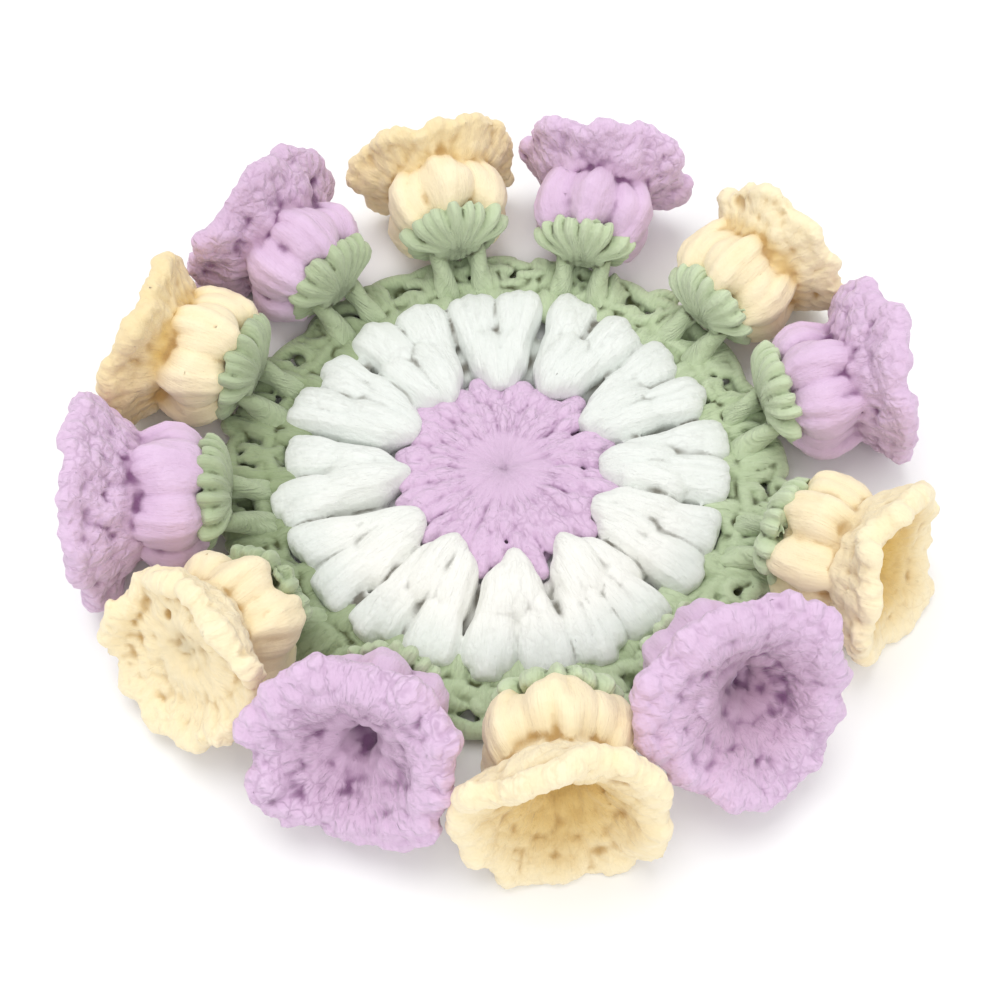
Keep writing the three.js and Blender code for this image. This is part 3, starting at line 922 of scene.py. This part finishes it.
def makeFlower(i, flower):
    number = f"{i + 1:02d}"
    tone = "yellow" if i % 2 == 0 else "lilac"

    def surface(u, v):
        row = v * lastRow
        # the ground lies just under the stitches, and deeper where the puffs need room
        inset = -bell["groundInset"] * np.minimum(1, 4 * v) * np.minimum(1, 8 * (1 - v))
        inset = inset - 1.1 * smoothStep(0.3, 1.2, row) * smoothStep(4.4, 3.2, row)
        return bellSurface(flower, row, u * turn, inset)[0]

    def axisPlace(points):
        # how far along the axis and out from it each point lies, and the way outwards
        away = points - flower["foot"]
        along = away @ flower["axis"]
        outwards = away - along[:, None] * flower["axis"]
        return along, np.linalg.norm(outwards, axis=1), unit(outwards)

    def placeOf(points):
        along, radius, outwards = axisPlace(points)
        round_ = 12 * np.stack([outwards @ flower["side"], outwards @ flower["up"]], axis=-1)
        return np.concatenate([(along + radius)[:, None], round_], axis=1)

    def paintedTintOf(points, normals):
        # painted shade: a darker, warmer colour down the mouth, round the neck and on the skirt's outside
        # past the neck
        along, radius, outwards = axisPlace(points)
        facing = (normals * outwards).sum(axis=1)
        inside = smoothStep(0.3, -0.3, facing)
        mouth = flower["glow"] * inside * smoothStep(0.95, 0.35, radius / flower["rim"])
        back = flower["dusk"] * (1 - inside) * smoothStep(bell["neckAt"] - 0.5, bell["neckAt"] + 1.5, along)
        neck = smoothStep(3.2, 0, np.abs(along - bell["neckAt"])) * smoothStep(12.5, 9, radius)
        neck = flower["fold"] * neck
        return np.clip(mouth + back + neck, 0, 1)

    def loopsOf(points, normals):
        # small loops show on the skirt and in the mouth, hardly on the puffs
        along, radius, outwards = axisPlace(points)
        inside = smoothStep(0.2, -0.3, (normals * outwards).sum(axis=1))
        skirt = smoothStep(bell["neckAt"] - 1, bell["neckAt"] + 1, along)
        shown = np.maximum(0.2, np.maximum(skirt, inside * smoothStep(7, 9, along)))
        return flower["loops"] * shown * smoothStep(3, 9, radius)

    ground = wrapGrid("bell" + number, bell, surface)
    bundle = []
    layPuffs(bundle, flower)
    for look in skirtStitch["rounds"]:
        laySkirtRound(bundle, flower, *look)
    layRim(bundle, flower)
    feltPiece(ground, bundle, bell, tone, ["flower_" + number], placeOf, paintedTintOf, loopsOf)


# The green openwork: bars of strands between braided chains, and posts between the white tips

leafLook = {
    "bars": {
        "from": 41.8, "to": 50.6, "strands": 3, "pitch": 1.9, "halfWidth": 0.82, "halfThickness": 1.1,
        "inner": 8.3, "outer": 4.8,  # degrees from a pair's middle to each bar's two ends
    },
    "posts": {"from": 35.5, "to": 42.6, "halfWidth": 1.0, "halfThickness": 0.95},
    # braids: radius, strands, height, reach to both sides
    "braids": [(41.4, 40, 1.7, 0.7), (43.2, 44, 2.3, 0.8), (49.0, 50, 2.1, 0.9)],
    "braidStrand": (0.78, 0.85),  # half width and half thickness
    "under": {"strands": 72, "from": 42.5, "to": 49, "height": 0.95, "halfWidth": 0.8, "halfThickness": 0.7},
    "curls": {"count": 100, "from": 42.5, "to": 49.8, "bend": (1.2, 2.3), "halfWidth": 0.62},
    "ground": [(40.8, 0.7), (41.4, 0), (42.9, 0), (43.4, 0.5), (42.9, 1.0), (41.4, 1.0), (40.8, 0.7)],
    "flatRadii": (36, 50.4),  # from the posts' feet to the outer chain
    "gapArea": 410,
    "grid": (192, 18),
    "girthAt": 45,
    "loops": 0.35,
    "felt": (0.36, 0, 0.42, 0),
}
fanLook = {
    "cords": {"count": 9, "spread": 70, "halfWidth": 0.54, "halfThickness": 0.85, "toRow": 1.3},
    "legs": {"strands": 6, "halfWidth": 0.85, "halfThickness": 0.9},
    "under": {"count": 15, "halfWidth": 0.75, "halfThickness": 0.6},
    "grid": (48, 20),
    "loops": 0.3,
    "felt": (0.32, 0, 0.35, 0),
}
cupRows = [(0, -0.2), (2.2, 0), (3.6, 0.3), (4.2, 0.9), (3.8, 1.5), (2, 1.3), (0, 1.1)]


def layLeaves():
    bundle = []
    t = alongStrand("fat")
    look = leafLook["bars"]
    each = look["strands"]
    groups = mat["tips"]
    index = column(groups * each)
    bar = index // each
    place = index % each - 0.5 * (each - 1)
    lean = (bar % 2) * 2 - 1
    middle = (mat["firstTip"] + 30 * (bar // 2)) * degree
    radius = fromTo(t, look) + jitter(index, 0.7)
    angle = middle + lean * between(t, look["inner"], look["outer"]) * degree + eachOf(groups, each, 0.008)
    offset = place * look["pitch"] * (0.9 + 0.2 * t)
    offset = offset + jitter(index, 0.3) + jitter(index, 0.8) * (t - 0.5)
    height = 2.4 + 0.55 * arch(0.15 + 0.8 * t) - 0.3 * place**2 + jitter(index, 0.35)
    width = look["halfWidth"] * (0.8 + 0.2 * arch(t)) * (1 + jitter(index, 0.15))
    layFlat(bundle, "fat", onCircle(radius, angle + offset / radius, height), width, look["halfThickness"])

    look = leafLook["posts"]
    index = column(2 * mat["tips"])
    half = (index % 2) * 2 - 1
    radius = fromTo(t, look) + jitter(index, 0.4)
    middle = (mat["firstTip"] + 7.5 + 15 * (index // 2)) * degree
    offset = half * between(t, 0.5, 1.3) + jitter(index, 0.5) * t
    height = 1.9 + 0.9 * arch(0.1 + 0.7 * t) + jitter(index, 0.2)
    centres = onCircle(radius, middle + offset / radius, height)
    layFlat(bundle, "fat", centres, look["halfWidth"], look["halfThickness"])

    for radiusAt, steps, height, reach in leafLook["braids"]:
        index = column(steps)
        side = (index % 2) * 2 - 1
        angle = (index + jitter(index, 0.25) + 2.0 * (t - 0.5)) * turn / steps
        radius = radiusAt + side * reach * np.cos(math.pi * t) + jitter(index, 0.25)
        centres = onCircle(radius, angle, height + 0.5 * arch(t) + jitter(index, 0.3))
        layFlat(bundle, "fat", centres, *leafLook["braidStrand"])

    # small curls of yarn lie on the bars and braids
    look = leafLook["curls"]
    index = column(look["count"])
    middle = (index + jitter(index, 0.4)) * turn / look["count"]
    radius = fromTo(chance.random(index.shape), look)
    at = onCircle(radius, middle, 3.1 + jitter(index, 0.35))
    bend = between(chance.random(index.shape), *look["bend"])
    curl = turn * chance.random(index.shape) + (t - 0.5) * 210 * degree
    rise = 0.5 * arch(t) + 0 * curl
    centres = at + np.stack([1.4 * bend * np.cos(curl), bend * np.sin(curl), rise], axis=-1)
    layFlat(bundle, "fat", centres, look["halfWidth"], look["halfWidth"])

    # a sparse lower layer crosses under the holes; the painted shade on low strands makes it dark, so the
    # holes look shadowed
    look = leafLook["under"]
    t = alongStrand("fine")
    index = column(look["strands"])
    angle = index * turn / look["strands"] + jitter(index, 0.03) + jitter(index, 0.12) * (t - 0.5)
    centres = onCircle(fromTo(t, look), angle, look["height"])
    layFlat(bundle, "fine", centres, look["halfWidth"], look["halfThickness"])
    return bundle


def leafPaintedShade(points, normals):
    # painted shade: the lower strands and the ring's left side are a darker olive
    low = smoothStep(2.2, 0.8, points[:, 2])
    left = 0.6 * smoothStep(5, -40, points[:, 0])
    return np.clip(0.45 * low + left, 0, 1)


def makeLeaves():
    section = roundSection(leafLook["ground"])

    def surface(u, v):
        radius, height = section(v)
        tips = np.cos(mat["tips"] * (u * turn - mat["firstTip"] * degree))
        return onCircle(radius + 0.6 * tips, u * turn, height)

    ground = wrapGrid("leafRing", leafLook, surface)
    placeOf = aroundMat(leafLook["girthAt"])
    feltPiece(ground, layLeaves(), leafLook, "green", ["leaf_ring"], placeOf, leafPaintedShade)


def layFan(flower):
    bundle = []
    t = alongStrand("long")
    look = fanLook["cords"]
    count = look["count"]
    place = np.linspace(-1, 1, count)[:, None]
    # each cord starts under the bell's foot, crosses the foot and climbs between the puffs
    onBell = 90 * degree - place * look["spread"] * degree + jitter(place, 0.08)
    below = 270 * degree + place * 0.9
    start, startNormal = bellSurface(flower, 0.55, below, 1.0)
    low, lowNormal = bellSurface(flower, 0.5, onBell, 1.1 + jitter(place, 0.2))
    high, highNormal = bellSurface(flower, 1.0, onBell, 1.0 + jitter(place, 0.2))
    end, endNormal = bellSurface(flower, look["toRow"] + jitter(place, 0.3), onBell, 0.3)
    joined = np.stack([start, low, high, end], axis=2)[:, 0]
    joinedNormals = np.stack([startNormal, lowNormal, highNormal, endNormal], axis=2)[:, 0]
    centres = np.array([curveThrough(joined[cord], 3 * t[0]) for cord in range(count)])
    normals = unit(np.array([curveThrough(joinedNormals[cord], 3 * t[0]) for cord in range(count)]))
    width = look["halfWidth"] * (0.7 + 0.3 * arch(t)) * (1 + jitter(place, 0.15))
    layStrands(bundle, "long", centres, normals, width, look["halfThickness"])

    # two legs stand on the ring's bars
    t = alongStrand("fat")
    look = fanLook["legs"]
    index = column(look["strands"])
    leg = (index % 2) * 2 - 1
    strand = index // 2 - 1
    turned = flower["unit"] + (leg * 5.0 + 1.9 * strand) * degree
    start = onCircle(40.8 + jitter(index, 0.6), turned, 1.3 + jitter(index, 0.3))
    onBell = 270 * degree + leg * 0.9 - 0.25 * strand
    end = bellSurface(flower, 0.6, onBell, 0.9)[0]
    bow = 0.9 * arch(t)[..., None] * np.array([0, 0, 1.0])
    centres = start + (end - start) * t[..., None] + bow
    layFlat(bundle, "fat", centres, look["halfWidth"], look["halfThickness"])

    # shorter cords close the round under the bell
    t = alongStrand("fine")
    look = fanLook["under"]
    index = column(look["count"])
    angle = np.linspace(186, 354, look["count"])[:, None] * degree + jitter(index, 0.05)
    row = between(t, 0.3, 1.3) + jitter(index, 0.15)
    centres, normals = bellSurface(flower, row, angle, 0.4)
    layStrands(bundle, "fine", centres, normals, look["halfWidth"], look["halfThickness"])
    return bundle


def makeCalyx(i, flower):
    section = roundSection(cupRows)

    def surface(u, v):
        radius, along = section(v)
        across = (radius * np.cos(u * turn))[..., None] * flower["side"]
        across = across + (radius * np.sin(u * turn))[..., None] * flower["up"]
        return flower["foot"] + across + along[..., None] * flower["axis"]

    def placeOf(points):
        away = points - flower["foot"]
        round_ = np.stack([away @ flower["side"], away @ flower["up"]], axis=-1)
        return np.concatenate([np.linalg.norm(away, axis=1)[:, None], 12 * unit(round_)], axis=1)

    def paintedTintOf(points, normals):
        # painted shade: a darker olive near the bell's foot and on the ring's left side
        away = points - flower["foot"]
        lift = (away * flower["axis"]).sum(axis=1)
        shade = smoothStep(-1.0, 0.4, lift) * smoothStep(8.5, 6, np.linalg.norm(away, axis=1))
        return np.clip(0.6 * shade + 0.35 * smoothStep(5, -45, points[:, 0]), 0, 1)

    number = f"{i + 1:02d}"
    ground = wrapGrid("calyx" + number, fanLook, surface)
    feltPiece(ground, layFan(flower), fanLook, "green", ["calyx_" + number], placeOf, paintedTintOf)


makeLeaves()
flowers = [readyFlower(i) for i in range(mat["units"])]
for i, flower in enumerate(flowers):
    makeFlower(i, flower)
    makeCalyx(i, flower)
print("flowers and leaves worked")


# Floor, light and camera

cameraLook = {
    "elevation": 57.41,
    "distance": 267.18,
    "lens": 53.23,
    "sensor": 36,
    "shiftX": -0.00428,
    "shiftY": -0.01818,
}
floorLook = {"size": 6, "colour": (0.93, 0.93, 0.93, 1)}
skyStrength = 0.8
# Round lamps that aim at the middle: size in metres, watts, place
lampLooks = {
    "overhead": (0.8, 4.3, (-0.15, 0.2, 1.0)),
    "front": (0.6, 2.7, (0.2, -0.8, 0.8)),
}


def makeFloor():
    deselectAll()
    bpy.ops.mesh.primitive_plane_add(size=floorLook["size"], location=(0, 0, 0))
    floor = bpy.context.object
    floor.name = "floor"
    material = bpy.data.materials.new("paleFloor")
    material.use_nodes = True
    tree = material.node_tree
    inputs = {"Base Color": floorLook["colour"], "Roughness": 1, "Specular IOR Level": 0}
    plug(tree, tree.nodes["Principled BSDF"], inputs)
    floor.data.materials.append(material)


def addLamp(name, size, power, place):
    deselectAll()
    bpy.ops.object.light_add(type="AREA", location=place)
    lamp = bpy.context.object
    lamp.name = name
    lamp.data.shape = "DISK"
    lamp.data.size = size
    lamp.data.energy = power
    x, y, z = place
    lamp.rotation_euler = (math.atan2(math.hypot(x, y), z), 0, math.atan2(x, -y))


def makeLight():
    world = bpy.data.worlds.new("softRoom")
    bpy.context.scene.world = world
    world.use_nodes = True
    tree = world.node_tree
    plug(tree, tree.nodes["Background"], {"Color": (1, 1, 1, 1), "Strength": skyStrength})
    for name, look in lampLooks.items():
        addLamp(name, *look)


def makeCamera():
    camera = bpy.data.cameras.new("photoCamera")
    camera.lens = cameraLook["lens"]
    camera.sensor_width = cameraLook["sensor"]
    camera.shift_x = cameraLook["shiftX"]
    camera.shift_y = cameraLook["shiftY"]
    camera.clip_start = 0.01
    eye = bpy.data.objects.new("photoCamera", camera)
    bpy.context.collection.objects.link(eye)
    elevation = cameraLook["elevation"] * degree
    distance = cameraLook["distance"] * mm
    eye.location = (0, -distance * math.cos(elevation), distance * math.sin(elevation))
    eye.rotation_euler = (math.pi / 2 - elevation, 0, 0)
    bpy.context.scene.camera = eye


makeFloor()
makeLight()
makeCamera()
bpy.context.scene.view_settings.view_transform = "Standard"
print("floor, light and camera are set")

deselectAll()
bpy.context.view_layer.update()
